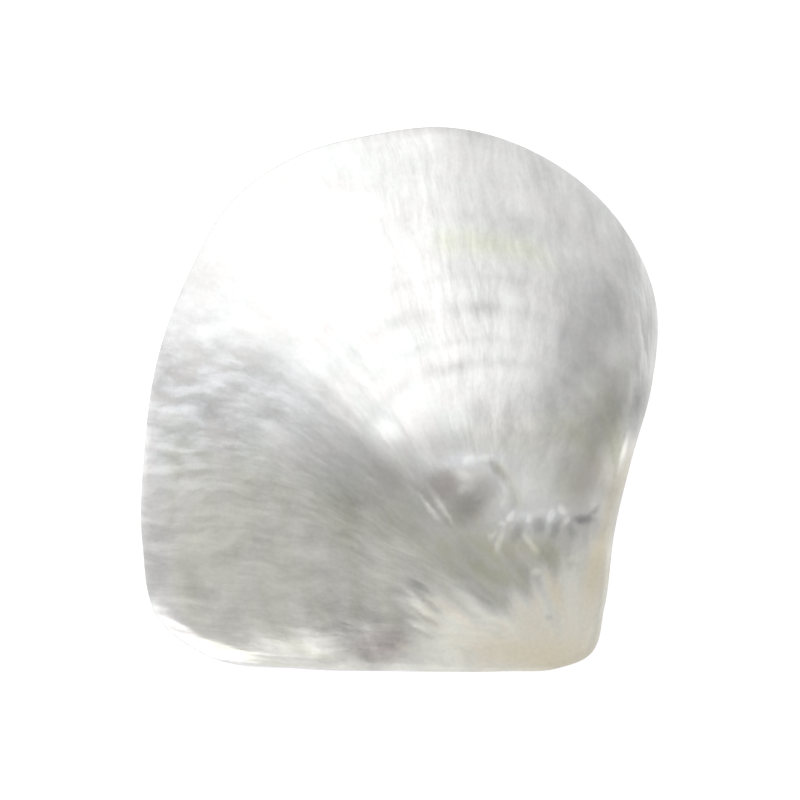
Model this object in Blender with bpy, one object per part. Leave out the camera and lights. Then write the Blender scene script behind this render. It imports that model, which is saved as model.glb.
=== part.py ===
"""Polished mother-of-pearl shell: the left valve of a silver-lip pearl oyster.

The valve lies on its margin with the hollow side down. The straight hinge line runs along -Y,
the free margin points to +Y, and the notch where the byssus leaves the shell is on the +X side.
A valve grows as one piece, so the object is one solid: a dome with a flat foot, less the hollow
that the oyster lived in and the groove that its ligament left in the hinge plate.
"""
import math
from dataclasses import dataclass

import bmesh
import bpy
from mathutils import Vector
from mathutils.geometry import interpolate_bezier

MM = 0.001
COLUMNS = 112       # columns of faces around the valve
RINGS = 16          # rings of faces from the crown to the margin
SPAN_STEPS = 24     # points that each span of the outline is measured with

# Outline of the margin in millimetres, clockwise from the ventral end, seen from outside
MARGIN = [
    (13.0, 75.0), (39.0, 67.3), (60.0, 49.9), (70.6, 27.0), (69.5, 4.0), (63.8, -17.0),
    (59.4, -36.0), (56.4, -58.0), (53.0, -69.8), (43.0, -74.2), (30.0, -74.85), (0.0, -74.85),
    (-27.0, -74.2), (-52.4, -70.8), (-66.4, -60.2), (-70.8, -40.0), (-70.3, -15.0),
    (-66.4, 12.0), (-58.2, 34.0), (-46.0, 54.7), (-28.0, 67.2), (-8.0, 72.8),
]
# Edge of the hollow, likewise: it leaves a narrow land, and the hinge plate along -Y
HOLLOW_EDGE = [
    (12.8, 72.6), (37.8, 65.2), (58.2, 48.5), (68.2, 26.6), (67.0, 4.6), (61.0, -16.0),
    (54.5, -38.0), (46.0, -54.0), (32.0, -60.6), (0.0, -61.5), (-34.0, -60.4), (-56.0, -52.6),
    (-66.4, -37.0), (-67.8, -14.6), (-64.0, 11.4), (-56.0, 33.0), (-44.4, 53.0),
    (-26.9, 65.0), (-7.4, 70.4),
]
CROWN = Vector((16.0, -21.0))       # highest point
BEAK = Vector((44.0, -66.0))        # oldest point of the shell, by the hinge line

# Directions seen from the crown, anticlockwise from +X
LEAN_ANGLE = math.radians(136.0)    # the dome's round middle reaches farthest this way
EAR_ANGLE = math.radians(-62.0)     # the hinge side is flatter than the rest about this one
EAR_SPREAD = math.radians(100.0)
RIDGE_SPREAD = math.radians(24.0)   # half width of the swelling that leads to the beak

# The margin's blunt edge: upright to this height, then leaning in towards the ground
UPRIGHT_HEIGHT = 1.1
LEAN_INWARDS = 0.5

# Groove of the ligament in the hinge plate
LIGAMENT = Vector((27.0, 5.0, 2.4))
LIGAMENT_PLACE = Vector((24.0, -69.2, 0.0))
LIGAMENT_TURN = math.radians(-5.0)


@dataclass
class Dome:
    """A grown surface: how it rises from its edge to the crown, in millimetres."""
    edge: float         # height of the edge
    rise: float         # from the edge to the crown
    reach: float        # mean reach of the round swell about the crown
    lean: float         # how far that swell leans away from the beak
    ear: float          # share of its fullness that the hinge side loses
    ridge: float        # height of the swelling that leads to the beak


OUTSIDE = Dome(edge=1.9, rise=25.0, reach=73.0, lean=25.0, ear=0.5, ridge=1.0)
HOLLOW = Dome(edge=0.5, rise=22.7, reach=68.0, lean=22.0, ear=0.35, ridge=0.0)


def smoothstep(low, high, value):
    """0 below low, 1 above high, with a smooth passage between."""
    share = min(max((value - low) / (high - low), 0.0), 1.0)
    return share * share * (3.0 - 2.0 * share)


def turned(angle, middle):
    """Angle between two directions, from 0 to pi."""
    return abs((angle - middle + math.pi) % (2.0 * math.pi) - math.pi)


def way_through(before, knot, after):
    """Direction of the circle through three points, at the middle one."""
    back = knot - before
    ahead = after - knot
    return (back / back.length_squared + ahead / ahead.length_squared).normalized()


def smooth_loop(corners):
    """Fine points of the smooth closed curve through the corners."""
    knots = [Vector(corner) for corner in corners]
    total = len(knots)
    loop = []
    for i, start in enumerate(knots):
        end = knots[(i + 1) % total]
        third = (end - start).length / 3.0
        leave = start + third * way_through(knots[i - 1], start, end)
        arrive = end - third * way_through(start, end, knots[(i + 2) % total])
        loop += interpolate_bezier(start, leave, arrive, end, SPAN_STEPS + 1)[:-1]
    return loop


def even_points(loop, count):
    """Points at even steps along a closed curve."""
    lengths = [0.0]
    for i, point in enumerate(loop):
        lengths.append(lengths[-1] + (loop[(i + 1) % len(loop)] - point).length)
    points = []
    place = 0
    for i in range(count):
        target = lengths[-1] * i / count
        while lengths[place + 1] < target:
            place += 1
        share = (target - lengths[place]) / (lengths[place + 1] - lengths[place])
        points.append(loop[place].lerp(loop[(place + 1) % len(loop)], share))
    return points


def dome_point(dome, rim, share):
    """Point of a dome, share of the way from the crown to a point of its rim."""
    ray = rim - CROWN
    angle = math.atan2(ray.y, ray.x)
    swell = dome.reach + dome.lean * math.cos(angle - LEAN_ANGLE)
    reach = share * (swell + (ray.length - swell) * share ** 2)
    foot = CROWN + ray.normalized() * reach

    full = 1.0 - share ** 2
    flat = 1.0 - smoothstep(-0.05, 1.05, share)
    spread = min(turned(angle, EAR_ANGLE) / EAR_SPREAD, 1.0)
    ear = dome.ear * (0.5 + 0.5 * math.cos(math.pi * spread)) * smoothstep(0.0, 0.6, share)
    beak_ray = BEAK - CROWN
    off_beak = turned(angle, math.atan2(beak_ray.y, beak_ray.x))
    ridge = dome.ridge * math.exp(-(off_beak / RIDGE_SPREAD) ** 2) * math.sin(math.pi * share) ** 2
    height = dome.edge + dome.rise * (full * (1.0 - ear) + flat * ear) + ridge
    return Vector((foot.x, foot.y, height))


def grow_dome(dome, outline):
    """Half globe of rings, moved onto a grown surface, with an open edge."""
    rim = even_points(smooth_loop(outline), COLUMNS)
    globe = bmesh.new()
    bmesh.ops.create_uvsphere(globe, u_segments=COLUMNS, v_segments=2 * RINGS, radius=1.0)
    lower = [vertex for vertex in globe.verts if vertex.co.z < -0.5 / RINGS]
    bmesh.ops.delete(globe, geom=lower, context="VERTS")
    for vertex in globe.verts:
        turn = math.atan2(vertex.co.y, vertex.co.x) / (2.0 * math.pi)
        column = round(-turn * COLUMNS) % COLUMNS
        ring = round(RINGS * math.acos(min(vertex.co.z, 1.0)) / (math.pi / 2.0))
        vertex.co = dome_point(dome, rim[column], ring / RINGS)
    return globe


def close_foot(shape, steps):
    """Run the open edge of a dome down through rings of a height and an inset, and cap it."""
    edge = [e for e in shape.edges if e.is_boundary]
    for height, inset in steps:
        grown = bmesh.ops.extrude_edge_only(shape, edges=edge)["geom"]
        edge = [e for e in grown if isinstance(e, bmesh.types.BMEdge) and e.is_boundary]
        for vertex in {v for e in edge for v in e.verts}:
            inwards = (CROWN - vertex.co.xy).normalized() * inset
            vertex.co = Vector((vertex.co.x + inwards.x, vertex.co.y + inwards.y, height))
    bmesh.ops.contextual_create(shape, geom=edge)
    bmesh.ops.recalc_face_normals(shape, faces=shape.faces)


def finish_mesh(name, shape):
    """Turn millimetres into metres and a bmesh into a mesh."""
    bmesh.ops.scale(shape, verts=shape.verts, vec=Vector((MM, MM, MM)))
    mesh = bpy.data.meshes.new(name)
    shape.to_mesh(mesh)
    shape.free()
    return mesh


def valve_mesh():
    """Solid dome of the valve, with its blunt edge and a flat foot."""
    shape = grow_dome(OUTSIDE, MARGIN)
    close_foot(shape, [(UPRIGHT_HEIGHT, 0.0), (0.0, LEAN_INWARDS)])
    return finish_mesh("valve", shape)


def hollow_mesh():
    """Shape of the hollow under the dome, reaching down through the foot."""
    shape = grow_dome(HOLLOW, HOLLOW_EDGE)
    close_foot(shape, [(-4.0, 0.0)])
    return finish_mesh("hollow", shape)


def ligament_mesh():
    """Long pod that sinks the ligament's groove into the hinge plate."""
    pod = bmesh.new()
    bmesh.ops.create_uvsphere(pod, u_segments=24, v_segments=12, radius=0.5)
    bmesh.ops.scale(pod, verts=pod.verts, vec=LIGAMENT)
    return finish_mesh("ligament", pod)


def nacre():
    """Silvery nacre: pale, half metallic in its shine, and smoothly polished."""
    material = bpy.data.materials.new("nacre")
    material.use_nodes = True
    shader = material.node_tree.nodes["Principled BSDF"]
    shader.inputs["Base Color"].default_value = (0.72, 0.71, 0.68, 1.0)
    shader.inputs["Roughness"].default_value = 0.25
    shader.inputs["Metallic"].default_value = 0.35
    return material


def add_object(name, mesh, collection):
    """Link a mesh to a collection as an object."""
    thing = bpy.data.objects.new(name, mesh)
    collection.objects.link(thing)
    return thing


def cut_with(valve, cutter):
    """Take a cutter's shape out of the valve."""
    cutter.hide_render = True
    cutter.display_type = "WIRE"
    boolean = valve.modifiers.new(cutter.name, "BOOLEAN")
    boolean.object = cutter
    boolean.operation = "DIFFERENCE"


def build():
    """Make the valve and its cutters."""
    for leftover in list(bpy.data.objects):
        bpy.data.objects.remove(leftover)
    shell = bpy.data.collections.new("pearl_oyster_valve")
    cutters = bpy.data.collections.new("cutters")
    bpy.context.scene.collection.children.link(shell)
    bpy.context.scene.collection.children.link(cutters)

    valve = add_object("valve", valve_mesh(), shell)
    valve.data.materials.append(nacre())
    valve.data.shade_smooth()
    valve.data.set_sharp_from_angle(angle=math.radians(40.0))

    cut_with(valve, add_object("hollow", hollow_mesh(), cutters))
    groove = add_object("ligament", ligament_mesh(), cutters)
    groove.location = LIGAMENT_PLACE * MM
    groove.rotation_euler.z = LIGAMENT_TURN
    cut_with(valve, groove)


build()
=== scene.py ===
"""Looks of the polished mother-of-pearl shell.

The valve is rebuilt as one fine mesh on the form that the frame holds. Every point of it knows
its place in the shell's growth: how old it is, and which fibre of the nacre runs through it.
The growth lines, the silk and the broad colours follow those. The spots and the strokes are
this one shell's own marks, some with painted highlights and shade, and much of the shading is
painted light and shade: they stand in tables that were set from the photo.
"""
import math
from typing import NamedTuple

import bpy
import numpy as np
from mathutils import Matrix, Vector, noise
from mathutils.geometry import interpolate_bezier


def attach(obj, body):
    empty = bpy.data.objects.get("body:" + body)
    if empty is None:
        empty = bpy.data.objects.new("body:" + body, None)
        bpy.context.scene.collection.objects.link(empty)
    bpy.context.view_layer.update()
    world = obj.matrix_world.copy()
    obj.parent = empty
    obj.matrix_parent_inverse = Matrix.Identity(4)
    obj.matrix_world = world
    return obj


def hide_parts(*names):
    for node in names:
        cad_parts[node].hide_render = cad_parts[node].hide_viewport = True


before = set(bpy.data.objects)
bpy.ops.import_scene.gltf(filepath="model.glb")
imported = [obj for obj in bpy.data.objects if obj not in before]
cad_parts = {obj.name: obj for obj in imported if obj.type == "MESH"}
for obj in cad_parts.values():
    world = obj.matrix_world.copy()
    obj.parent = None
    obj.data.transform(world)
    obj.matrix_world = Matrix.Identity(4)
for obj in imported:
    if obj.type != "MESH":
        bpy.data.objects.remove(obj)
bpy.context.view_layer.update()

MM = 0.001

# ------------------------------------------------------------------ form, as in the frame (mm)

MARGIN = [
    (13.0, 75.0), (39.0, 67.3), (60.0, 49.9), (70.6, 27.0), (69.5, 4.0), (63.8, -17.0),
    (59.4, -36.0), (56.4, -58.0), (53.0, -69.8), (43.0, -74.2), (30.0, -74.85), (0.0, -74.85),
    (-27.0, -74.2), (-52.4, -70.8), (-66.4, -60.2), (-70.8, -40.0), (-70.3, -15.0),
    (-66.4, 12.0), (-58.2, 34.0), (-46.0, 54.7), (-28.0, 67.2), (-8.0, 72.8),
]
HOLLOW_EDGE = [
    (12.8, 72.6), (37.8, 65.2), (58.2, 48.5), (68.2, 26.6), (67.0, 4.6), (61.0, -16.0),
    (54.5, -38.0), (46.0, -54.0), (32.0, -60.6), (0.0, -61.5), (-34.0, -60.4), (-56.0, -52.6),
    (-66.4, -37.0), (-67.8, -14.6), (-64.0, 11.4), (-56.0, 33.0), (-44.4, 53.0),
    (-26.9, 65.0), (-7.4, 70.4),
]
CROWN = np.array((16.0, -21.0))
BEAK = np.array((44.0, -66.0))
OUTSIDE = dict(edge=1.9, rise=25.0, reach=73.0, lean=25.0, ear=0.5, ridge=1.0)
HOLLOW = dict(edge=0.5, rise=22.7, reach=68.0, lean=22.0, ear=0.35, ridge=0.0)
LEAN_ANGLE = math.radians(136.0)
EAR_ANGLE = math.radians(-62.0)
EAR_SPREAD = math.radians(100.0)
RIDGE_SPREAD = math.radians(24.0)
LIGAMENT_PLACE = np.array((24.0, -69.2))
LIGAMENT_SIZE = (27.0, 5.0)
LIGAMENT_DEPTH = 1.2
LIGAMENT_TURN = -5.0

# ------------------------------------------------------------------ fineness of the mesh

COLUMNS = 440       # columns of faces around the valve
OUTER_RINGS = 152   # rings from the crown to the margin
LAND_RINGS = 14     # rings across the ground foot
HOLLOW_RINGS = 42   # rings from the hollow's edge to its crown
RING_SPREAD = 0.94  # power by which the rings draw closer towards the margin
RIM_SHARE = 0.998   # the last ring before the margin lies close to it, for a crisp edge
# Rings of the blunt edge: share of its height, and how far they lie inside the margin
EDGE_RINGS = ((0.72, 0.0), (0.42, 0.05), (0.2, 0.18), (0.06, 0.4), (0.0, 0.7))
LAND_END_HEIGHT = 0.1   # of the foot's last ring, where the hollow starts

# The two halves of the map for baking: place of the crown, size of a millimetre, half turns
OUTSIDE_MAP = ((0.4204, 0.2853), 0.0044, 1.0)
INSIDE_MAP = ((0.8206, 0.8248), 0.0026, -1.0)

# ------------------------------------------------------------------ growth of the nacre

# How far the fibres turn away from the beak's rays towards the margin, in degrees,
# at these directions seen from the beak
FIBRE_DIRECTIONS = (50, 72, 82, 92, 100, 110, 122, 134, 146, 158, 170, 184, 200)
FIBRE_TURNS = (25, 20, 22, 8, -5, -8, 2, 18, 24, 24, 8, -12, -12)
LONGEST_FIBRE = 160     # mm, and steps of 1 mm in which a fibre is followed

# Growth lines: age, half width in age, depth of the groove in mm, how much darker it is
GROWTH_LINES = (
    (0.395, 0.014, 0.02, 0.04), (0.54, 0.013, 0.02, 0.19), (0.585, 0.008, 0.01, 0.10),
    (0.645, 0.016, 0.04, 0.19), (0.705, 0.009, 0.02, 0.09), (0.83, 0.014, 0.03, 0.03),
    (0.90, 0.010, 0.03, 0.02), (0.972, 0.004, 0.03, 0.05),
)

# Soft patches on the outside, in mm and degrees: x, y, half length, half width, direction of
# the length, and strength. The first two sets make the nacre lighter or darker. They hold this
# shell's own spots, and also painted highlights and painted shade: shades of the photo that the
# form and the studio don't give.
PALE_SPOTS_AND_PAINTED_LIGHT = (
    (-2.4, -8.4, 4.6, 3.0, -35, 0.12), (-1.0, -5.0, 11.0, 7.0, -45, 0.14),
    (20.0, -10.5, 12.0, 2.6, 5, 0.05), (27.0, 9.0, 13.0, 10.0, 75, 0.06),
    (-40.0, 17.0, 9.0, 3.5, -10, 0.06), (-24.5, 8.5, 7.0, 3.5, -35, 0.06),
    (-56.0, 20.0, 9.0, 3.0, -8, 0.10), (-56.5, 11.5, 6.0, 2.2, -30, 0.12),
    (-63.5, -3.6, 7.0, 2.8, -8, 0.26), (-35.5, -13.0, 7.5, 2.2, -12, 0.06),
    (-64.0, -13.0, 6.5, 1.3, -8, 0.32), (-64.5, -19.0, 6.5, 1.1, 0, 0.36),
    (-66.0, -33.4, 4.0, 1.3, -10, 0.20), (-66.0, -40.0, 3.6, 1.2, 5, 0.22),
    (-60.0, -55.0, 7.0, 0.9, -4, 0.16), (33.5, -24.0, 9.5, 9.5, 10, 0.42),
    (18.0, -15.4, 9.0, 2.6, 8, 0.07), (23.0, -49.5, 5.5, 1.3, -60, 0.12),
    (29.0, -60.0, 5.5, 1.2, -62, 0.06), (16.0, -52.5, 9.0, 2.6, -35, 0.14),
    # the thin bright patch by the notch, next, is a painted glint on the low step
    (61.2, -14.2, 3.7, 0.75, 76, 0.55), (60.0, -28.0, 14.0, 3.2, 78, -0.06),
    (47.0, -41.5, 2.4, 2.0, 0, 0.10), (6.5, -56.0, 5.0, 3.0, -40, 0.04),
    (26.0, -40.0, 12.0, 6.0, -20, 0.12), (1.0, -44.0, 8.0, 5.0, -30, 0.15),
    (13.0, -66.0, 9.0, 8.0, 0, 0.10), (22.0, -60.0, 8.0, 4.0, -30, 0.08),
    (11.0, 57.0, 5.0, 11.0, 0, 0.08), (57.0, 42.0, 18.0, 9.0, -50, 0.15),
    (66.5, 31.0, 9.0, 3.0, 80, 0.10), (31.5, 60.0, 12.0, 3.0, 92, 0.11),
    (52.0, 57.0, 5.0, 3.0, -45, 0.07), (64.0, 40.0, 4.5, 2.6, -62, 0.10),
    (8.0, 71.0, 12.0, 3.0, 0, 0.10), (36.0, 9.0, 10.0, 7.0, 75, 0.05),
    (43.5, -27.0, 6.0, 3.6, 0, 0.12), (55.0, 19.0, 7.0, 4.0, 80, 0.05),
    (17.0, -60.0, 13.0, 10.0, 0, 0.07), (49.5, -24.0, 9.0, 6.0, 75, 0.07),
)
# Darker: the shell's own dark spots, and painted shade
DARK_SPOTS_AND_PAINTED_SHADE = (
    (-45.0, 4.0, 15.0, 4.5, 36, 0.19), (-34.0, 14.0, 5.0, 3.0, -35, 0.08),
    (-64.5, 6.0, 5.0, 3.6, 0, 0.26), (-50.0, -2.0, 7.0, 3.6, -20, 0.12),
    (-34.0, -4.0, 8.0, 3.6, -30, 0.08), (53.0, 8.0, 22.0, 7.0, 78, 0.08),
    (-14.0, -24.0, 17.0, 9.0, -20, 0.16), (-8.0, -16.0, 14.0, 6.0, -28, 0.16),
    (-22.0, -10.0, 8.0, 4.0, -32, 0.08), (12.0, -11.0, 12.0, 4.5, 0, 0.14),
    (-1.0, -19.5, 6.0, 4.0, -20, 0.08), (55.0, -12.5, 11.0, 3.6, 72, 0.10),
    (57.0, 3.0, 7.0, 4.0, 80, 0.10), (60.5, -8.0, 8.0, 4.0, 74, 0.18),
    (41.5, -48.0, 5.0, 3.2, -60, 0.04), (23.0, -53.5, 6.5, 2.4, -55, 0.04),
    (-4.0, -66.5, 9.0, 5.0, 12, 0.17), (-13.0, -70.0, 8.0, 2.6, 6, 0.14),
    (-14.0, -60.5, 11.0, 6.0, 5, 0.25), (-18.0, -69.0, 10.0, 3.5, 0, 0.10),
    (65.4, -3.0, 9.0, 3.2, 76, 0.38), (57.5, -25.0, 10.0, 3.0, 76, 0.16),
    (19.0, -25.0, 10.0, 7.0, -20, 0.07), (58.4, -16.0, 4.0, 1.6, 76, 0.14),
    (-67.0, -42.0, 24.0, 3.0, 88, 0.08), (39.5, 60.0, 7.0, 4.5, -40, 0.06),
    (58.5, 30.0, 5.0, 4.0, 60, 0.07), (24.5, 41.0, 10.0, 6.0, 90, 0.07),
    (19.0, -40.0, 6.0, 3.0, -30, 0.06), (-22.0, -61.0, 20.0, 6.0, 0, 0.10),
    (-11.0, -54.0, 7.0, 5.0, 0, 0.06), (22.0, -3.0, 7.0, 4.0, 0, 0.12),
    (7.0, 22.0, 5.0, 6.0, 80, 0.05), (-57.0, 31.0, 7.0, 4.0, -20, 0.08),
    (-30.0, 12.0, 5.0, 3.0, -40, 0.05),
)
# Sharp little strokes: the same, and their height in mm. Some are this shell's own marks; on
# the ridges and wrinkles, the lighter ones are painted highlights and the darker painted shade
STROKES = (
    # ridges and spots beside the beak's scar, and painted highlights by the pale crest
    (8.2, -29.2, 4.1, 0.62, -51, 0.34, 0.14), (11.8, -29.4, 5.0, 0.60, -54, 0.32, 0.12),
    (18.6, -16.3, 2.0, 1.3, 12, 0.20, 0.03), (22.6, -15.4, 1.7, 1.0, 10, 0.18, 0.02),
    (11.6, -17.9, 1.4, 1.0, 30, 0.10, 0.02),
    (17.2, -20.4, 2.4, 1.4, -30, 0.17, 0.03), (16.4, -23.8, 1.6, 0.9, 30, 0.12, 0.03),
    (-2.6, -8.2, 4.0, 2.6, -38, 0.22, 0.0),
    (27.4, -23.4, 2.2, 0.7, -66, 0.12, 0.06), (27.4, -27.4, 1.5, 0.8, -100, 0.14, 0.06),
    (12.8, 34.0, 10.0, 0.5, 96, 0.07, 0.03), (10.4, 24.0, 8.0, 0.5, 100, 0.06, 0.03),
    # the scar's dark lobes and the band around them
    (11.4, -22.6, 4.4, 3.9, -30, -0.24, -0.08), (18.0, -28.4, 5.0, 3.6, 15, -0.27, -0.10),
    (22.8, -24.0, 4.4, 3.2, 40, -0.22, -0.08), (20.6, -26.0, 1.8, 0.6, 35, 0.08, 0.03),
    (25.8, -18.4, 3.2, 1.2, -42, -0.22, -0.07), (28.8, -22.0, 2.6, 1.2, -62, -0.18, -0.06),
    (30.2, -26.6, 3.0, 1.3, -88, -0.20, -0.07), (28.0, -31.0, 2.0, 1.2, -140, -0.10, -0.04),
    (15.4, -33.0, 4.6, 1.6, -10, -0.12, -0.06), (6.2, -25.6, 5.0, 1.3, -50, -0.16, -0.06),
    (14.0, -11.4, 10.0, 3.4, 4, -0.10, 0.0), (33.6, -12.6, 4.2, 0.8, 86, -0.08, -0.03),
    # the row of wrinkles towards the front margin, on a low ridge, with painted highlights on its
    # crests and painted shade in its notches
    (36.0, -30.6, 11.5, 1.3, 6, 0.13, 0.05),
    (27.4, -33.0, 1.2, 0.8, 0, 0.26, 0.08), (29.6, -30.9, 1.6, 0.9, 60, 0.38, 0.14),
    (34.6, -31.9, 1.2, 0.9, 60, 0.36, 0.14), (40.6, -31.2, 2.0, 0.9, 68, 0.42, 0.16),
    (43.8, -29.4, 1.6, 1.1, -50, 0.34, 0.14), (45.0, -32.4, 1.3, 0.8, 70, 0.30, 0.12),
    (26.6, -38.0, 3.6, 0.8, 74, 0.30, 0.12), (35.4, -38.6, 3.6, 0.9, -52, 0.32, 0.12),
    (36.8, -46.4, 1.4, 1.1, 30, 0.28, 0.12), (46.4, -43.2, 1.4, 0.9, 20, 0.20, 0.08),
    (24.6, -36.2, 1.5, 0.9, 40, 0.24, 0.10), (48.2, -38.5, 2.2, 1.4, 60, 0.10, 0.04),
    (31.4, -35.6, 2.9, 1.5, 62, -0.28, -0.14), (37.4, -33.8, 2.6, 1.6, 100, -0.28, -0.14),
    (42.2, -34.8, 3.0, 1.4, 70, -0.28, -0.14), (46.6, -35.0, 2.4, 1.2, 110, -0.22, -0.10),
    (49.8, -32.3, 3.0, 1.3, -6, -0.46, -0.14), (52.9, -30.2, 2.2, 0.8, 40, -0.26, -0.06),
    (29.8, -42.0, 4.4, 2.2, -66, -0.10, -0.06), (39.4, -41.0, 3.4, 2.4, 80, -0.10, -0.06),
    (20.0, -43.0, 7.0, 1.8, -52, -0.06, -0.05), (33.6, -46.6, 3.4, 1.4, -60, -0.14, -0.05),
    (24.0, -53.0, 5.5, 1.5, -58, -0.13, -0.06), (19.0, -50.0, 6.0, 1.1, -54, -0.09, -0.04),
    # stripes at the border of the cream side
    (4.4, -53.0, 3.6, 0.8, -42, 0.22, 0.10), (5.6, -56.2, 4.2, 0.7, -44, 0.22, 0.10),
    (4.6, -60.6, 3.4, 0.7, -38, 0.20, 0.10), (2.2, -50.6, 3.0, 0.7, -40, 0.12, 0.06),
    (6.4, -50.6, 4.8, 1.0, -42, -0.28, -0.12), (7.6, -54.4, 5.2, 1.0, -44, -0.32, -0.12),
    (7.0, -58.6, 4.6, 1.0, -40, -0.28, -0.12), (6.0, -63.0, 4.2, 0.8, -30, -0.20, -0.10),
    (40.9, -59.5, 1.4, 0.8, -15, -0.16, -0.05),
)
RUFFLE = (1.6, 0.36)    # size and amount of the waver in the strokes' edges, in mm

# Border of the cream side along the hinge, with the cream on its right-hand side
CREAM_BORDER = (
    (3.0, -80.0), (2.0, -66.0), (4.5, -53.0), (10.0, -49.5), (16.0, -53.5), (22.0, -57.5),
    (28.0, -55.5), (36.0, -52.0), (40.0, -46.5), (46.0, -44.0), (51.0, -38.7), (54.0, -33.0),
    (57.6, -21.0), (60.6, -13.4), (69.0, -9.0),
)
TAN_PATCHES = (
    (42.5, -52.5, 7.0, 2.0, -72, 0.9), (31.0, -69.0, 13.0, 4.5, -14, 0.8),
    (46.0, -70.0, 11.0, 6.0, 10, 0.7), (37.0, -62.0, 8.0, 3.6, -35, 0.45),
    (53.5, -47.0, 13.0, 3.0, 80, 1.0), (58.5, -23.0, 14.0, 3.4, 76, 0.7),
)
OLIVE_PATCHES = (
    (30.0, -42.5, 16.0, 7.5, 4, 0.50), (17.5, -24.5, 9.0, 7.0, 0, 0.45),
    (53.0, -10.0, 20.0, 9.0, 74, 0.70), (58.0, -15.5, 7.5, 3.2, 76, 0.50),
    (27.0, -18.8, 3.4, 1.6, -45, 0.50), (30.8, -25.0, 5.0, 1.6, -76, 0.45),
    (34.0, -9.0, 16.0, 5.5, 5, 0.50), (18.4, -29.0, 4.5, 3.0, 10, 0.40),
    (14.0, -39.5, 9.0, 4.0, -20, 0.30), (39.0, -20.0, 8.0, 9.0, 0, 0.20),
    (-5.5, -26.0, 15.0, 7.0, 60, 0.30), (49.5, -24.0, 9.0, 6.0, 75, 0.35),
)
# Bluish tint: over the hind flank's painted wisps, over pale spots beside the scar, and over the
# painted highlights of the row of wrinkles
COOL_PATCHES = (
    (-56.0, 0.0, 16.0, 22.0, 0, 0.7), (-30.0, 2.0, 12.0, 9.0, -35, 0.5),
    (18.0, -16.0, 9.0, 2.5, 8, 0.8), (34.0, -22.0, 8.0, 9.0, 0, 0.2),
    (37.0, -31.5, 12.0, 4.0, 0, 0.7),
)
# Where the hind flank gets painted wisps: silky streaks of sheen lightened into its colour
PAINTED_WISP_PATCHES = (
    (-57.5, 4.0, 17.0, 28.0, 6, 1.0), (-33.0, 2.0, 14.0, 10.0, -35, 0.6),
)
ROSE_PATCHES = (
    (-3.0, -66.5, 10.0, 5.0, 12, 1.0), (12.0, -22.6, 4.4, 4.0, 0, 0.85),
    (19.0, -29.2, 4.0, 3.0, 0, 0.45), (52.0, -21.0, 6.0, 4.5, 60, 0.55),
    (50.0, -32.3, 4.0, 1.8, 0, 0.6), (-3.0, -19.0, 7.0, 3.0, -30, 0.25),
    (31.0, -41.0, 5.0, 4.0, -60, 0.25),
)
HINGE_ROOT = np.array((48.0, -84.0))    # the streaks of the cream side run towards this place
NOTCH_GLINT = (61.1, -14.4, 4.4, 1.3, 76)   # patch without cream, under the painted glint by the notch
SCAR_PLACE = (17.0, -25.0, 11.0, 8.0, -20)  # patch without streaks, where the beak's scar is

# Low step that runs from the notch in the front margin towards the beak, and where it shows
FOLD = ((63.2, -5.0), (61.2, -11.0), (59.4, -18.0), (57.6, -27.0), (55.5, -36.0))
FOLD_HEIGHT = 0.25
FOLD_PLACE = (61.0, -17.0, 10.0, 7.0, 75)

# The hollow: the closing muscle's scar, and the line where the mantle was fastened
MUSCLE_SCAR = (-12.0, 4.0, 19.0, 12.5, 68)
PALLIAL_LINE = (0.80, 0.012)    # age and half width


def smoothstep(low, high, value):
    """0 below low, 1 above high, with a smooth passage between."""
    share = np.clip((value - low) / (high - low), 0.0, 1.0)
    return share * share * (3.0 - 2.0 * share)


def bell(middle, width, value):
    """Bell curve of height 1."""
    return np.exp(-(((value - middle) / width) ** 2))


def turned(angle, middle):
    """Angle between two directions, from 0 to pi."""
    return np.abs((angle - middle + math.pi) % (2.0 * math.pi) - math.pi)


def soft_noise(*coordinates, seed=0, octaves=1):
    """Smooth noise, about -1 to 1, at columns of coordinates."""
    rows = np.column_stack([np.broadcast_to(column, coordinates[0].shape)
                            for column in (*coordinates, 0.0, 0.0)[:3]])
    total = np.zeros(len(rows))
    for octave in range(octaves):
        moved = rows * 2.0 ** octave + 17.3 * (seed + 1)
        total += np.array([noise.noise(Vector(row)) for row in moved]) / 2.0 ** octave
    return total


# ------------------------------------------------------------------ outline and domes

def smooth_loop(corners):
    """Fine points of the smooth closed curve through the corners."""
    knots = [Vector(corner) for corner in corners]
    total = len(knots)

    def way_through(i):
        back = knots[i] - knots[i - 1]
        ahead = knots[(i + 1) % total] - knots[i]
        return (back / back.length_squared + ahead / ahead.length_squared).normalized()

    loop = []
    for i, start in enumerate(knots):
        end = knots[(i + 1) % total]
        third = (end - start).length / 3.0
        leave = start + third * way_through(i)
        arrive = end - third * way_through((i + 1) % total)
        loop += interpolate_bezier(start, leave, arrive, end, 41)[:-1]
    return np.array([tuple(point) for point in loop])


def even_points(loop, count):
    """Points at even steps along a closed curve."""
    closed = np.vstack([loop, loop[:1]])
    steps = np.hypot(*np.diff(closed, axis=0).T)
    lengths = np.concatenate([[0.0], np.cumsum(steps)])
    targets = np.arange(count) * lengths[-1] / count
    return np.column_stack([np.interp(targets, lengths, closed[:, axis]) for axis in (0, 1)])


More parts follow.
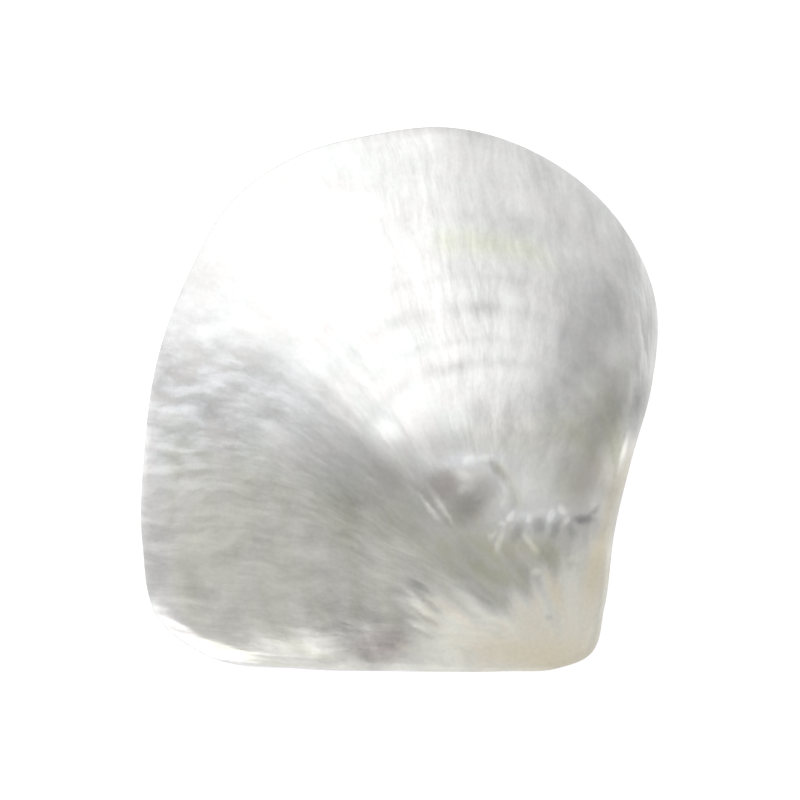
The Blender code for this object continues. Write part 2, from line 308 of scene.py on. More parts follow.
def dome_ring(dome, rim, share):
    """Ring of points on a dome, share of the way from the crown to the rim."""
    ray = rim - CROWN
    length = np.hypot(ray[:, 0], ray[:, 1])
    angle = np.arctan2(ray[:, 1], ray[:, 0])
    swell = dome["reach"] + dome["lean"] * np.cos(angle - LEAN_ANGLE)
    reach = share * (swell + (length - swell) * share ** 2)
    foot = CROWN + ray / length[:, None] * reach[:, None]

    full = 1.0 - share ** 2
    flat = 1.0 - smoothstep(-0.05, 1.05, share)
    spread = np.minimum(turned(angle, EAR_ANGLE) / EAR_SPREAD, 1.0)
    ear = dome["ear"] * (0.5 + 0.5 * np.cos(math.pi * spread)) * smoothstep(0.0, 0.6, share)
    beak_ray = BEAK - CROWN
    off_beak = turned(angle, math.atan2(beak_ray[1], beak_ray[0]))
    ridge = dome["ridge"] * bell(0.0, RIDGE_SPREAD, off_beak) * math.sin(math.pi * share) ** 2
    height = dome["edge"] + dome["rise"] * (full * (1.0 - ear) + flat * ear) + ridge
    return np.column_stack([foot, height])


# ------------------------------------------------------------------ growth coordinates

class Grown(NamedTuple):
    """Growth coordinates of points, which the growth lines and the silk follow."""
    distance: np.ndarray    # from the beak, in mm
    degrees: np.ndarray     # direction from the beak
    age: np.ndarray         # 0 at the beak, 1 at the margin
    label: np.ndarray       # direction from the beak in which the point's fibre ends


class Growth:
    """Growth over the valve: rays from the beak, and fibres that leave them."""

    def __init__(self, loop):
        ray = loop - BEAK
        angle = np.mod(np.arctan2(ray[:, 1], ray[:, 0]), 2.0 * math.pi)
        order = np.argsort(angle)
        self.angles = angle[order]
        self.reaches = np.hypot(ray[:, 0], ray[:, 1])[order]

    def reach(self, angle):
        """Distance from the beak to the margin."""
        return np.interp(np.mod(angle, 2.0 * math.pi), self.angles, self.reaches,
                         period=2.0 * math.pi)

    def polar(self, points):
        """Distance and direction from the beak."""
        ray = points[:, :2] - BEAK
        angle = np.arctan2(ray[:, 1], ray[:, 0])
        angle = np.where(angle < -0.5 * math.pi, angle + 2.0 * math.pi, angle)
        return np.maximum(np.hypot(ray[:, 0], ray[:, 1]), 1.0), angle

    def slant(self, angle, age):
        """Angle between a fibre and the ray from the beak."""
        degrees = np.degrees(angle)
        late = np.interp(degrees, FIBRE_DIRECTIONS, FIBRE_TURNS) * smoothstep(0.4, 0.95, age)
        early = -16.0 * bell(106.0, 22.0, degrees) * bell(0.42, 0.22, age)
        return np.radians(late + early)

    def fibre(self, distance, angle):
        """Direction, from the beak, in which the fibre through each point ends."""
        for _ in range(LONGEST_FIBRE):
            age = distance / self.reach(angle)
            inside = age < 1.0
            turn = np.tan(self.slant(angle, age)) / distance
            angle = angle + np.where(inside, turn, 0.0)
            distance = distance + np.where(inside, 1.0, 0.0)
        return angle

    def at(self, points):
        """Growth coordinates of points."""
        distance, angle = self.polar(points)
        age = distance / self.reach(angle)
        return Grown(distance, np.degrees(angle), age, self.fibre(distance, angle))


# ------------------------------------------------------------------ patches and strokes

def patch(points, x, y, half_length, half_width, direction, power=1.0):
    """Soft ellipse of height 1 at a place; a higher power gives it firmer edges."""
    turn = math.radians(direction)
    across = points[:, :2] - (x, y)
    along = (across[:, 0] * math.cos(turn) + across[:, 1] * math.sin(turn)) / half_length
    aside = (across[:, 1] * math.cos(turn) - across[:, 0] * math.sin(turn)) / half_width
    return np.exp(-((along ** 2 + aside ** 2) ** power))


def ruffled(points, size, amount):
    """Points moved a little by noise, so that what is drawn over them gets a natural edge."""
    x, y = points[:, 0] / size, points[:, 1] / size
    moves = [soft_noise(x, y, seed=seed, octaves=2) for seed in (20, 21)]
    return points[:, :2] + amount * np.column_stack(moves)


def patches(points, rows, power=1.0):
    """Sum of patches, each by its strength."""
    total = np.zeros(len(points))
    for *place, strength in rows:
        total += strength * patch(points, *place, power=power)
    return total


def line_distance(points, line):
    """Signed distance to a line of corners, positive on its right-hand side."""
    best = np.full(len(points), np.inf)
    signed = np.zeros(len(points))
    for start, end in zip(line, line[1:]):
        start = np.array(start)
        way = np.array(end) - start
        away = points[:, :2] - start
        share = np.clip((away @ way) / (way @ way), 0.0, 1.0)
        gap = away - share[:, None] * way
        distance = np.hypot(gap[:, 0], gap[:, 1])
        side = np.sign(away[:, 0] * way[1] - away[:, 1] * way[0])
        nearer = distance < best
        best = np.where(nearer, distance, best)
        signed = np.where(nearer, side * distance, signed)
    return signed


# ------------------------------------------------------------------ the outside

def margin_roll(points, share, label):
    """How far the polished margin rolls down, in mm: most, and raggedly, at the hind corner."""
    ray = points[:, :2] - CROWN
    direction = np.arctan2(ray[:, 1], ray[:, 0])

    def side(middle, half_width):
        return bell(0.0, math.radians(half_width), turned(direction, math.radians(middle)))

    corner = side(229.0, 28.0)
    ragged = soft_noise(label * 36.0, share * 9.0, seed=10, octaves=3)
    start = 0.962 - (0.028 + 0.036 * ragged) * corner
    rolled = np.clip((share - start) / (1.0 - start), 0.0, 1.0) ** (2.0 - 0.5 * corner)
    return (0.85 + 0.25 * corner - 0.8 * side(16.0, 32.0) - 0.8 * side(122.0, 55.0)) * rolled


def outer_relief(points, share, grown):
    """Height of the fine relief over the smooth dome of the outside, in mm."""
    age, label = grown.age, grown.label
    wobble = 0.010 * soft_noise(label * 9.0, seed=1) + 0.004 * soft_noise(label * 40.0, seed=2)
    relief = 0.22 * smoothstep(0.2, 0.8, age) * soft_noise(label * 8.0, age * 3.0, seed=3)
    relief += 0.06 * smoothstep(0.3, 0.9, age) * soft_noise(label * 26.0, age * 9.0, seed=4)
    lines_show = 0.15 + 0.85 * bell(104.0, 16.0, grown.degrees)
    for line_age, width, depth, _ in GROWTH_LINES:
        broken = 0.5 + 0.9 * soft_noise(label * 9.0, line_age * 40.0, seed=9)
        relief -= depth * lines_show * broken * bell(line_age, width, age + wobble)
    wavered = ruffled(points, *RUFFLE)
    for *place, _, height in STROKES:
        relief += height * patch(wavered, *place, power=1.3)
    beyond_fold = smoothstep(1.0, -1.0, line_distance(points, FOLD))
    relief += FOLD_HEIGHT * beyond_fold * patch(points, *FOLD_PLACE, power=2.0)
    return relief - margin_roll(points, share, label)


def outer_shade(points, grown, wobble):
    """How much lighter or darker than its colour the outside is, as a share: the shell's own
    spots and lines, with painted highlights and painted shade.
    """
    shade = patches(points, PALE_SPOTS_AND_PAINTED_LIGHT) - patches(points, DARK_SPOTS_AND_PAINTED_SHADE)
    wavered = ruffled(points, *RUFFLE)
    for *place, strength, _ in STROKES:
        shade += strength * patch(wavered, *place, power=1.7)
    lines_show = 0.15 + 0.85 * bell(107.0, 22.0, grown.degrees)
    for line_age, width, _, darker in GROWTH_LINES:
        broken = 0.75 + 0.9 * soft_noise(grown.label * 11.0, line_age * 40.0, seed=9)
        shade -= darker * lines_show * broken * bell(line_age, width, grown.age + wobble)
    return shade


def hinge_polar(points):
    """Direction and distance of points, seen from the root of the cream side's streaks."""
    away = points[:, :2] - HINGE_ROOT
    return np.arctan2(away[:, 1], -away[:, 0]), np.hypot(away[:, 0], away[:, 1])


def cream_mask(points):
    """The cream side along the hinge, with a border that frays along its streaks."""
    ray, from_root = hinge_polar(points)
    fray = soft_noise(ray * 13.0, from_root / 22.0, seed=7, octaves=3)
    cream = smoothstep(-4.0, 5.0, line_distance(points, CREAM_BORDER) + 4.5 * fray)
    # no cream under the painted glint by the notch
    return cream * (1.0 - patch(points, *NOTCH_GLINT))


def outer_masks(points, grown):
    """Masks of the outside's colours and textures, and its shade, which is signed."""
    distance, degrees, age, label = grown
    wobble = 0.012 * soft_noise(label * 12.0, seed=5) + 0.006 * soft_noise(label * 60.0, seed=6)
    # Regions: by the hinge, the hind flank, the front, and the pale crest between those two
    slanted = points[:, 1] + 0.25 * points[:, 0]
    hinge_half = smoothstep(20.0, -10.0, slanted)
    near_hinge = smoothstep(-14.0, -36.0, slanted)
    hind = hinge_half * smoothstep(135.0, 150.0, degrees) * smoothstep(35.0, 70.0, distance)
    front = smoothstep(98.0, 80.0, degrees)
    crest = smoothstep(109.0, 119.0, degrees) * smoothstep(136.0, 127.0, degrees)
    crest *= smoothstep(45.0, 80.0, distance)

    cream = cream_mask(points)
    olive = patches(points, OLIVE_PATCHES, power=1.3) + 0.55 * near_hinge * (1.0 - cream)
    olive = np.clip(olive, 0.0, 1.0) * (1.0 - smoothstep(0.91, 0.97, age) * hinge_half)
    lime = bell(105.6, 2.2, degrees)
    lime += smoothstep(104.2, 102.8, degrees) * smoothstep(88.0, 95.5, degrees)
    lime *= bell(0.772, 0.028, age + wobble)
    painted_wisps = patches(points, PAINTED_WISP_PATCHES) + 0.4 * hind

    grain = 0.10 + 0.90 * smoothstep(124.0, 106.0, degrees) * (1.0 - 0.6 * front)
    grain += 0.80 * smoothstep(136.0, 150.0, degrees)
    grain *= 1.0 - patch(points, *SCAR_PLACE, power=2.0)
    grain *= 1.0 + 0.8 * bell(62.0, 24.0, distance)
    grain += 0.14 * crest
    lively = smoothstep(118.0, 100.0, degrees) + 1.6 * smoothstep(128.0, 145.0, degrees)
    lively += 1.1 * front + 0.25 * crest
    return dict(
        shade=outer_shade(points, grown, wobble),
        cream=cream,
        olive=olive,
        lime=lime,
        tan=np.clip(patches(points, TAN_PATCHES), 0.0, 1.0),
        rose=np.clip(patches(points, ROSE_PATCHES), 0.0, 1.0),
        cool=np.clip(patches(points, COOL_PATCHES), 0.0, 1.0),
        sheen=0.07 + 0.13 * hind + 0.15 * crest,
        painted_wisps=np.clip(painted_wisps, 0.0, 1.0),
        grain=grain,
        blotches=(0.12 + 0.55 * lively) * smoothstep(8.0, 35.0, distance),
    )


# ------------------------------------------------------------------ the inside

def pallial_line(grown):
    """How close each point is to the row of scars where the mantle was fastened, 0 to 1."""
    angle = np.radians(grown.degrees)
    wobble = 0.012 * soft_noise(angle * 7.0, seed=11)
    broken = smoothstep(-0.5, 0.2, soft_noise(angle * 34.0, seed=12))
    shown = smoothstep(62.0, 76.0, grown.degrees) * smoothstep(186.0, 172.0, grown.degrees)
    middle, half_width = PALLIAL_LINE
    return bell(middle, half_width, grown.age + wobble) * broken * shown


def inner_relief(points, grown):
    """Height of the fine relief of the hollow, in mm, positive into the nacre."""
    scar = patch(points, *MUSCLE_SCAR, power=3.0)
    ripples = soft_noise(grown.label * 30.0, points[:, 1] * 0.2, seed=8)
    swells = soft_noise(grown.label * 5.0, grown.age * 4.0, seed=13)
    return 0.22 * scar + 0.03 * scar * ripples + 0.10 * swells + 0.10 * pallial_line(grown)


def inner_masks(points, grown):
    """Masks of the hollow's colours and textures."""
    scar = patch(points, *MUSCLE_SCAR, power=3.0) + 0.7 * pallial_line(grown)
    return dict(
        scar=np.clip(scar, 0.0, 1.0),
        lip=bell(1.0, 0.07, grown.age),
        sheen=np.full(len(points), 0.5),
        grain=np.full(len(points), 0.4),
        blotches=np.full(len(points), 0.6),
    )


# ------------------------------------------------------------------ the foot

def ligament_groove(place):
    """Height of the groove that the ligament left in the foot."""
    turn = math.radians(LIGAMENT_TURN)
    away = place - LIGAMENT_PLACE
    along = (away[:, 0] * math.cos(turn) + away[:, 1] * math.sin(turn)) / LIGAMENT_SIZE[0]
    aside = (away[:, 1] * math.cos(turn) - away[:, 0] * math.sin(turn)) / LIGAMENT_SIZE[1]
    return LIGAMENT_DEPTH * np.clip(1.0 - 4.0 * (along ** 2 + aside ** 2), 0.0, 1.0) ** 0.7


def foot_rings(margin, hollow, height):
    """Rings of the blunt edge and of the ground foot, down to the edge of the hollow."""
    inwards = CROWN - margin
    inwards /= np.hypot(inwards[:, 0], inwards[:, 1])[:, None]
    rings = [np.column_stack([margin + inwards * inset, height * share])
             for share, inset in EDGE_RINGS]
    start = margin + inwards * EDGE_RINGS[-1][1]
    for j in range(1, LAND_RINGS + 1):
        place = start + (hollow - start) * (j / (LAND_RINGS + 1))
        rings.append(np.column_stack([place, ligament_groove(place)]))
    rings.append(np.column_stack([hollow, np.full(COLUMNS, LAND_END_HEIGHT)]))
    return rings


def foot_masks(points):
    """Masks of the ground foot: its bare layers, and the dark groove of the ligament."""
    return dict(foot=np.ones(len(points)), groove=smoothstep(0.05, 0.6, points[:, 2]))


# ------------------------------------------------------------------ mesh

def unrolled(rings, place, scale, way):
    """Places on a flat map of rings around the crown, as far out as they lie along the surface."""
    steps = np.linalg.norm(np.diff(rings, axis=0), axis=2)
    arcs = np.concatenate([np.zeros((1, COLUMNS)), np.cumsum(steps, axis=0)])
    away = rings[..., :2] - CROWN
    angle = np.arctan2(away[..., 1], away[..., 0])
    angle[0] = angle[1]
    return np.stack([place[0] + scale * arcs * np.cos(angle),
                     place[1] + way * scale * arcs * np.sin(angle)], axis=-1)


def lay_out(mesh, points, outer_rings):
    """Map of the mesh for baking: the outside with its edge, and the inside with its foot."""
    rings = points[1:-1].reshape(-1, COLUMNS, 3)
    first = np.broadcast_to(points[0], (1, COLUMNS, 3))
    last = np.broadcast_to(points[-1], (1, COLUMNS, 3))
    outside = unrolled(np.concatenate([first, rings[:outer_rings]]), *OUTSIDE_MAP)
    inside = unrolled(np.concatenate([last, rings[:outer_rings - 2:-1]]), *INSIDE_MAP)
    inside = inside[::-1]
    corners = []
    for i in range(COLUMNS):
        k = (i + 1) % COLUMNS
        corners += [outside[0, i], outside[1, k], outside[1, i]]
        for half in (outside[1:], inside[:-1]):
            for j in range(len(half) - 1):
                corners += [half[j, i], half[j, k], half[j + 1, k], half[j + 1, i]]
        corners += [inside[-2, i], inside[-2, k], inside[-1, i]]
    layer = mesh.uv_layers.new(name="OFBake")
    layer.data.foreach_set("uv", np.array(corners, dtype=np.float32).ravel())


def valve_parts(growth, margin_loop):
    """Points of the outside, the foot and the hollow, ring by ring."""
    margin = even_points(margin_loop, COLUMNS)
    hollow = even_points(smooth_loop(HOLLOW_EDGE), COLUMNS)

    shares = [(j / (OUTER_RINGS - 1)) ** RING_SPREAD for j in range(1, OUTER_RINGS - 1)]
    shares += [RIM_SHARE, 1.0]
    outer = np.vstack([dome_ring(OUTSIDE, margin[:1], 0.0)]
                      + [dome_ring(OUTSIDE, margin, share) for share in shares])
    outer_share = np.concatenate([[0.0], np.repeat(shares, COLUMNS)])
    outer[:, 2] += outer_relief(outer, outer_share, growth.at(outer))

    foot = np.vstack(foot_rings(margin, hollow, outer[-COLUMNS:, 2]))

    inner = [dome_ring(HOLLOW, hollow, 1.0 - j / HOLLOW_RINGS) for j in range(HOLLOW_RINGS)]
    inner = np.vstack(inner + [dome_ring(HOLLOW, hollow[:1], 0.0)])
    inner[:, 2] += inner_relief(inner, growth.at(inner))
    return outer, foot, inner


def ring_faces(count):
    """Faces of this many points: rings, closed by a single point at either end."""
    rings = (count - 2) // COLUMNS
    faces = []
    for i in range(COLUMNS):
        k = (i + 1) % COLUMNS
        faces.append((0, 1 + k, 1 + i))
        for j in range(rings - 1):
            near = 1 + j * COLUMNS
            far = near + COLUMNS
            faces.append((near + i, near + k, far + k, far + i))
        last = 1 + (rings - 1) * COLUMNS
        faces.append((last + i, last + k, count - 1))
    return faces


def add_layer(mesh, name, columns):
    """Named values of a mesh's points: one column, or three."""
    kind, field = ("FLOAT", "value") if columns.ndim == 1 else ("FLOAT_VECTOR", "vector")
    layer = mesh.attributes.new(name, kind, "POINT")
    layer.data.foreach_set(field, columns.astype(np.float32).ravel())


def add_layers(mesh, growth, outer, foot, inner):
    """Growth coordinates and masks of the valve's points, for its material."""
    points = np.vstack([outer, foot, inner])
    grown = growth.at(points)
    add_layer(mesh, "growth", np.column_stack([grown.label, grown.distance, grown.age]))
    add_layer(mesh, "hinge", np.column_stack([*hinge_polar(points), np.zeros(len(points))]))
    parts = (
        (outer, outer_masks(outer, growth.at(outer))),
        (foot, foot_masks(foot)),
        (inner, inner_masks(inner, growth.at(inner))),
    )
    for name in dict.fromkeys(name for _, masks in parts for name in masks):
        columns = [masks.get(name, np.zeros(len(part))) for part, masks in parts]
        add_layer(mesh, name, np.concatenate(columns))


def build_valve():
    """The whole valve as one closed mesh, with its growth coordinates and masks."""
    margin_loop = smooth_loop(MARGIN)
    growth = Growth(margin_loop)
    outer, foot, inner = valve_parts(growth, margin_loop)
    points = np.vstack([outer, foot, inner])
    mesh = bpy.data.meshes.new("valve_nacre")
    mesh.from_pydata(points * MM, [], ring_faces(len(points)))
    mesh.shade_smooth()
    lay_out(mesh, points, OUTER_RINGS + len(EDGE_RINGS))
    add_layers(mesh, growth, outer, foot, inner)
    valve = bpy.data.objects.new("valve_nacre", mesh)
    bpy.context.scene.collection.objects.link(valve)
    return valve


# ------------------------------------------------------------------ material

SILVER = (0.66, 0.66, 0.655)
COOL = (0.645, 0.658, 0.685)
OLIVE = (0.545, 0.537, 0.42)
LIME = (0.65, 0.665, 0.575)
ROSE = (0.58, 0.52, 0.50)
CREAM = (0.79, 0.778, 0.70)
PEACH = (0.80, 0.75, 0.655)
PEWTER = (0.72, 0.718, 0.655)
TAN = (0.76, 0.69, 0.53)
PINK_SHEEN = (0.72, 0.64, 0.64)
GREEN_SHEEN = (0.60, 0.68, 0.65)
SCAR = (0.56, 0.56, 0.54)
GOLD = (0.70, 0.64, 0.50)
HORN = (0.30, 0.24, 0.17)
CHALK = (0.74, 0.73, 0.69)

METALLIC = 0.65             # of the silver, which shines half like a metal
CREAM_METALLIC = 0.15
ROUGHNESS = (0.32, 0.285)   # in the dark and in the pale of the nacre's clouds
CREAM_ROUGHER = 0.05
COAT = (0.8, 0.1)           # weight and roughness of the polish
FLECK_TINT = 0.08           # share of green or pink in the finest flecks
FLECK_SIZE = 0.0012         # in m, as are the next two
STREAK_RELIEF = 0.00006
CLOUD_RELIEF = 0.00030


class Nodes:
    """Short calls for building a node tree."""

    def __init__(self, tree):
        self.tree = tree
        tree.nodes.clear()

    def add(self, kind, **settings):
        """New node with these settings."""
        node = self.tree.nodes.new(kind)
        for name, value in settings.items():
            setattr(node, name, value)
        return node

    def set(self, socket, value):
        """Link an output to a socket, or write a number or colour into it."""
        if isinstance(value, bpy.types.NodeSocket):
            self.tree.links.new(value, socket)
        elif isinstance(value, tuple):
            socket.default_value = (*value, 1.0)
        else:
            socket.default_value = value

    def math(self, operation, *values):
        """Result of a calculation."""
        node = self.add("ShaderNodeMath", operation=operation)
        for socket, value in zip(node.inputs, values):
            self.set(socket, value)
        return node.outputs[0]

    def plus(self, total, *others):
        """Sum of two or more values."""
        for other in others:
            total = self.math("ADD", total, other)
        return total

    def minus(self, first, second):
        """First value less the second."""
        return self.math("SUBTRACT", first, second)

    def times(self, first, second):
        """Product of two values."""
        return self.math("MULTIPLY", first, second)

    def over(self, first, second):
        """First value divided by the second."""
        return self.math("DIVIDE", first, second)

    def mask(self, name):
        """Value of a named layer of the mesh."""
        return self.add("ShaderNodeAttribute", attribute_name=name).outputs["Fac"]

    def split(self, vector):
        """The three parts of a vector."""
        node = self.add("ShaderNodeSeparateXYZ")
        self.set(node.inputs[0], vector)
        return node.outputs

    def places(self, name):
        """The three coordinates in a named layer of the mesh."""
        return self.split(self.add("ShaderNodeAttribute", attribute_name=name).outputs["Vector"])

    def bump(self, strength, distance, height, under=None):
        """Normal of a surface with this relief, perhaps over another relief's normal."""
        node = self.add("ShaderNodeBump")
        self.set(node.inputs["Strength"], strength)
        self.set(node.inputs["Distance"], distance)
        self.set(node.inputs["Height"], height)
        if under:
            self.set(node.inputs["Normal"], under)
        return node.outputs[0]

    def noise(self, x, y, detail=2.0, roughness=0.5):
        """Noise over two coordinates."""
        place = self.add("ShaderNodeCombineXYZ")
        self.set(place.inputs[0], x)
        self.set(place.inputs[1], y)
        node = self.add("ShaderNodeTexNoise", noise_dimensions="2D")
        self.set(node.inputs["Vector"], place.outputs[0])
        self.set(node.inputs["Scale"], 1.0)
        self.set(node.inputs["Detail"], detail)
        self.set(node.inputs["Roughness"], roughness)
        return node.outputs["Fac"]

    def passage(self, value, low, high, start=0.0, end=1.0):
        """Smooth passage from start to end while the value goes from low to high."""
        node = self.add("ShaderNodeMapRange", interpolation_type="SMOOTHSTEP")
        for socket, item in zip(node.inputs, (value, low, high, start, end)):
            self.set(socket, item)
        return node.outputs[0]

    def mix(self, share, first, second, blend="MIX"):
        """Mix of two colours."""
        node = self.add("ShaderNodeMix", data_type="RGBA", blend_type=blend)
        for socket, value in zip((node.inputs[0], node.inputs[6], node.inputs[7]),
                                 (share, first, second)):
            self.set(socket, value)
        return node.outputs[2]


def silk(n, label, distance, frequency, length, detail, roughness=0.5):
    """Streaks along the fibres, as wide near the beak as near the margin."""
    near, middle, far = (
        n.noise(n.times(label, frequency * part), n.over(distance, length), detail, roughness)
        for part in (0.25, 0.5, 1.0))
    inner = n.mix(n.passage(distance, 25.0, 50.0), near, middle)
    return n.mix(n.passage(distance, 60.0, 95.0), inner, far)


def swing(n, noise, amount):
    """Noise about 0, as far as amount to either side."""
    return n.times(n.minus(noise, 0.5), 2.0 * amount)


def silver_colour(n, label, age, painted_wisps):
    """Colour of the silvery nacre, with its sheen of green and pink and its tinted places."""
    hue = n.noise(n.times(label, 5.0), n.times(age, 14.0), 1.0)
    sheen = n.mix(n.passage(hue, 0.35, 0.65), GREEN_SHEEN, PINK_SHEEN)
    colour = n.mix(n.mask("sheen"), SILVER, sheen)
    olive = n.times(n.mask("olive"), n.passage(hue, 0.35, 0.65, 1.0, 0.6))
    colour = n.mix(olive, colour, OLIVE)
    for name, tint in (("lime", LIME), ("rose", ROSE), ("scar", SCAR)):
        colour = n.mix(n.mask(name), colour, tint)
    cool = n.times(n.mask("cool"), n.passage(painted_wisps, 0.36, 0.58, 0.1, 1.0))
    return n.mix(cool, colour, COOL)


def cream_colour(n):
    """Colour of the cream side: bands that run towards the root of its streaks."""
    ray, from_root, _ = n.places("hinge")
    bands = n.noise(n.times(ray, 7.0), n.over(from_root, 17.0), 3.0)
    colour = n.mix(n.passage(bands, 0.48, 0.74), CREAM, PEACH)
    colour = n.mix(n.passage(bands, 0.52, 0.28), colour, PEWTER)
    return n.mix(n.mask("tan"), colour, TAN)


def foot_colour(n, label, age):
    """Colour of the ground foot, which cuts through the layers that the shell grew in."""
    layers = n.noise(n.times(age, 150.0), n.times(label, 3.0), 3.0)
    return n.mix(n.passage(layers, 0.35, 0.65), CHALK, SCAR)


def nacre_light(n, clouds, streaks, painted_wisps, grain, flecks):
    """Factor by which the spots with painted light and shade, the fine textures and the painted
    wisps of sheen make the nacre lighter or darker.
    """
    # the shade layer: the shell's own spots, with painted highlights and painted shade
    light = n.plus(1.0, n.mask("shade"), swing(n, flecks, 0.06))
    light = n.plus(light, n.times(n.mask("blotches"), swing(n, clouds, 0.21)))
    light = n.plus(light, n.times(grain, swing(n, streaks, 0.19)))
    # painted sheen: bright silky wisps lightened into the hind flank's colour
    return n.plus(light, n.times(n.mask("painted_wisps"), n.passage(painted_wisps, 0.36, 0.68, -0.06, 0.20)))


def nacre_material():
    """Polished nacre: half metallic silver with silky streaks, and a cream hinge side."""
    material = bpy.data.materials.new("nacre")
    material.use_nodes = True
    n = Nodes(material.node_tree)
    label, distance, age = n.places("growth")
    bend = n.noise(n.times(label, 6.0), n.over(distance, 13.0), 1.0)
    label = n.plus(label, swing(n, bend, 0.013))
    clouds = silk(n, label, distance, 13.0, 12.0, 2.0)
    streaks = silk(n, label, distance, 64.0, 9.0, 4.0, 0.58)
    painted_wisps = n.noise(n.times(label, 22.0), n.over(distance, 11.0), 3.0, 0.6)
    x, y, _ = n.split(n.add("ShaderNodeTexCoord").outputs["Object"])
    x, y = n.over(x, FLECK_SIZE), n.over(y, FLECK_SIZE)
    cream = n.mask("cream")
    grain = n.times(n.mask("grain"), n.passage(distance, 6.0, 24.0))

    colour = n.mix(cream, silver_colour(n, label, age, painted_wisps), cream_colour(n))
    colour = n.mix(n.mask("foot"), colour, foot_colour(n, label, age))
    colour = n.mix(n.times(n.mask("lip"), 0.7), colour, GOLD)
    colour = n.mix(n.times(n.mask("groove"), 0.85), colour, HORN)
    tint = n.mix(n.passage(n.noise(y, x, 1.0), 0.3, 0.7), GREEN_SHEEN, PINK_SHEEN)
    colour = n.mix(FLECK_TINT, colour, tint)
    grey = n.add("ShaderNodeCombineColor")
    light = nacre_light(n, clouds, streaks, painted_wisps, grain, flecks=n.noise(x, y, 2.0))
    for socket in grey.inputs:
        n.set(socket, light)
    colour = n.mix(1.0, colour, grey.outputs[0], "MULTIPLY")

    uneven = n.minus(1.0, n.times(cream, 0.6))
    normal = n.bump(n.times(uneven, grain), STREAK_RELIEF, streaks)
    normal = n.bump(n.times(uneven, n.mask("blotches")), CLOUD_RELIEF, clouds, normal)
    metallic = n.minus(METALLIC, n.times(cream, METALLIC - CREAM_METALLIC))
    rough = n.plus(n.passage(clouds, 0.3, 0.7, *ROUGHNESS), n.times(cream, CREAM_ROUGHER))

    shader = n.add("ShaderNodeBsdfPrincipled")
    n.set(shader.inputs["Base Color"], colour)
    n.set(shader.inputs["Metallic"], metallic)
    n.set(shader.inputs["Roughness"], rough)
    n.set(shader.inputs["Normal"], normal)
    n.set(shader.inputs["Coat Weight"], COAT[0])
    n.set(shader.inputs["Coat Roughness"], COAT[1])
    n.set(n.add("ShaderNodeOutputMaterial").inputs[0], shader.outputs[0])
    return material


# ------------------------------------------------------------------ studio

FLOOR_SIZE = 6.0
FLOOR_COLOUR = (0.5, 0.5, 0.5)      # to the light that it scatters
FLOOR_GLOW = 0.76                   # added where it is seen, so that it shows white
FLOOR_DROP = 0.0001                 # below the shell's foot

CAMERA_PLACE = (0.0002, -0.0001, 0.6135)
CAMERA_LENS = 100.0
SENSOR_WIDTH = 36.0

# Light of the studio's walls by azimuth, in degrees anticlockwise from +X. It was set, as the
# parts below were, so that the reflections fall as in the photo.
WALLS = (
    (0, 0.67), (20, 0.79), (45, 1.36), (70, 1.58), (90, 1.74), (100, 2.09), (146, 2.08),
    (153, 1.00), (163, 0.66), (173, 0.50), (190, 0.37), (235, 0.36), (270, 0.38), (300, 0.56),
    (325, 0.64), (360, 0.67),
)
WALL_TOP = 2.2          # light at the top of the ramp that holds the walls
WALL_LEAN = 18.0        # how far the walls' edges lean from overhead to the horizon, in degrees
CEILING = 0.80          # light straight overhead
# Curtains and lamps: azimuth, half width, softness, the levels (0 overhead, 1 at the horizon)
# between which they set in, and the light they add
PARTS = (
    (54.0, 38.0, 8.0, 0.52, 0.80, -0.50),       # curtain on the front half of the bright wall
    (122.0, 32.0, 10.0, 0.55, 0.90, -0.17),     # thinner curtain on its other half
    (114.0, 34.0, 10.0, 0.92, 0.975, -0.95),    # end of the bright wall, above the horizon
    (18.0, 14.0, 8.0, 0.86, 0.96, 0.45),        # low lamp
    (350.0, 18.0, 10.0, 0.88, 0.98, -0.30),     # dark corner next to it
    (205.0, 60.0, 30.0, 0.20, 0.90, 0.27),      # the dark walls grow paler towards the horizon
    (236.0, 29.0, 8.0, 0.945, 0.98, 2.20),      # low lamp that lights the rolled margin
)


def build_floor():
    """White floor that takes the shell's shadow."""
    mesh = bpy.data.meshes.new("floor")
    half = 0.5 * FLOOR_SIZE
    corners = [(-half, -half, 0.0), (half, -half, 0.0), (half, half, 0.0), (-half, half, 0.0)]
    mesh.from_pydata(corners, [], [(0, 1, 2, 3)])
    floor = bpy.data.objects.new("floor", mesh)
    floor.location.z = -FLOOR_DROP
    bpy.context.scene.collection.objects.link(floor)
    material = bpy.data.materials.new("white_floor")
    material.use_nodes = True
    n = Nodes(material.node_tree)
    diffuse = n.add("ShaderNodeBsdfDiffuse")
    n.set(diffuse.inputs["Color"], FLOOR_COLOUR)
    path = n.add("ShaderNodeLightPath").outputs
    seen = n.math("MAXIMUM", path["Is Camera Ray"], path["Is Glossy Ray"])
    seen = n.math("MAXIMUM", seen, path["Is Transmission Ray"])
    glow = n.add("ShaderNodeEmission")
    n.set(glow.inputs["Strength"], n.times(seen, FLOOR_GLOW))
    both = n.add("ShaderNodeAddShader")
    n.set(both.inputs[0], diffuse.outputs[0])
    n.set(both.inputs[1], glow.outputs[0])
    n.set(n.add("ShaderNodeOutputMaterial").inputs[0], both.outputs[0])
    mesh.materials.append(material)


def wall_ramp(n, azimuth):
    """Light of the walls, from an azimuth in turns."""
    ramp = n.add("ShaderNodeValToRGB")
    ramp.color_ramp.interpolation = "EASE"
    stops = ramp.color_ramp.elements
    while len(stops) < len(WALLS):
        stops.new(0.5)
    for stop, (degrees, light) in zip(stops, WALLS):
        stop.position = degrees / 360.0
        stop.color = (light / WALL_TOP,) * 3 + (1.0,)
    n.set(ramp.inputs[0], azimuth)
    return n.times(ramp.outputs[0], WALL_TOP)


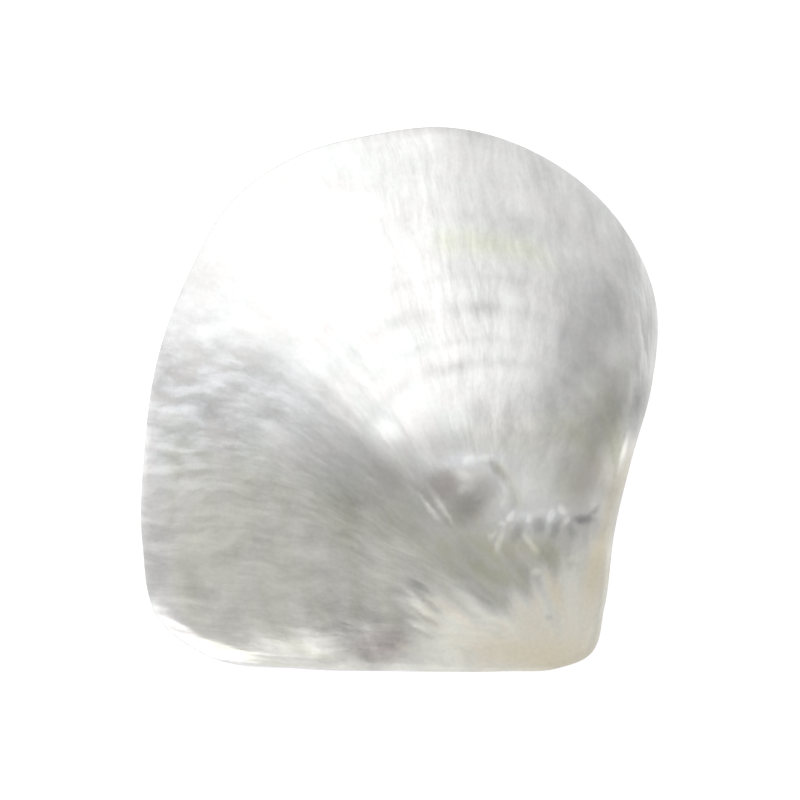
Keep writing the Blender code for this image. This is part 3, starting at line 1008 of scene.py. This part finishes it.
def part_light(n, level, facing, part):
    """Light that a curtain or a lamp adds, from a call that says how squarely it is faced."""
    azimuth, half_width, softness, low, high, added = part
    outer = math.cos(math.radians(half_width + softness))
    inner = math.cos(math.radians(half_width - softness))
    share = n.times(n.passage(facing(azimuth), outer, inner), n.passage(level, low, high))
    return n.times(share, added)


def build_world():
    """Soft studio: pale walls, bright on one side, a dim ceiling, curtains and low lamps."""
    world = bpy.data.worlds.new("studio")
    bpy.context.scene.world = world
    world.use_nodes = True
    n = Nodes(world.node_tree)
    x, y, _ = n.split(n.add("ShaderNodeTexCoord").outputs["Generated"])
    level = n.math("MAXIMUM", n.math("SQRT", n.plus(n.times(x, x), n.times(y, y))), 0.001)

    def facing(azimuth):
        turn = math.radians(azimuth)
        return n.over(n.plus(n.times(x, math.cos(turn)), n.times(y, math.sin(turn))), level)

    lean = n.times(n.minus(n.math("MAXIMUM", level, 0.42), 0.6), math.radians(WALL_LEAN))
    turns = n.over(n.minus(n.math("ARCTAN2", y, x), lean), 2.0 * math.pi)
    walls = wall_ramp(n, n.math("FRACT", n.plus(turns, 1.0)))
    light = n.passage(level, 0.03, 0.15, CEILING, walls)
    light = n.plus(light, *(part_light(n, level, facing, part) for part in PARTS))

    seen = n.add("ShaderNodeLightPath").outputs["Is Camera Ray"]
    background = n.add("ShaderNodeBackground")
    n.set(background.inputs["Color"], (1.0, 1.0, 1.0))
    n.set(background.inputs["Strength"], n.plus(seen, n.times(n.minus(1.0, seen), light)))
    n.set(n.add("ShaderNodeOutputWorld").inputs[0], background.outputs[0])


def build_camera():
    """Camera straight above, with +Y up in the picture."""
    data = bpy.data.cameras.new("camera")
    data.lens = CAMERA_LENS
    data.sensor_width = SENSOR_WIDTH
    camera = bpy.data.objects.new("camera", data)
    camera.location = CAMERA_PLACE
    bpy.context.scene.collection.objects.link(camera)
    bpy.context.scene.camera = camera


def build_shell():
    """The valve's looks, in place of the frame's plain valve."""
    valve = build_valve()
    valve.data.materials.append(nacre_material())
    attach(valve, "root")
    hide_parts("valve")


build_camera()
build_floor()
build_world()
build_shell()
bpy.context.scene.view_settings.view_transform = "Standard"
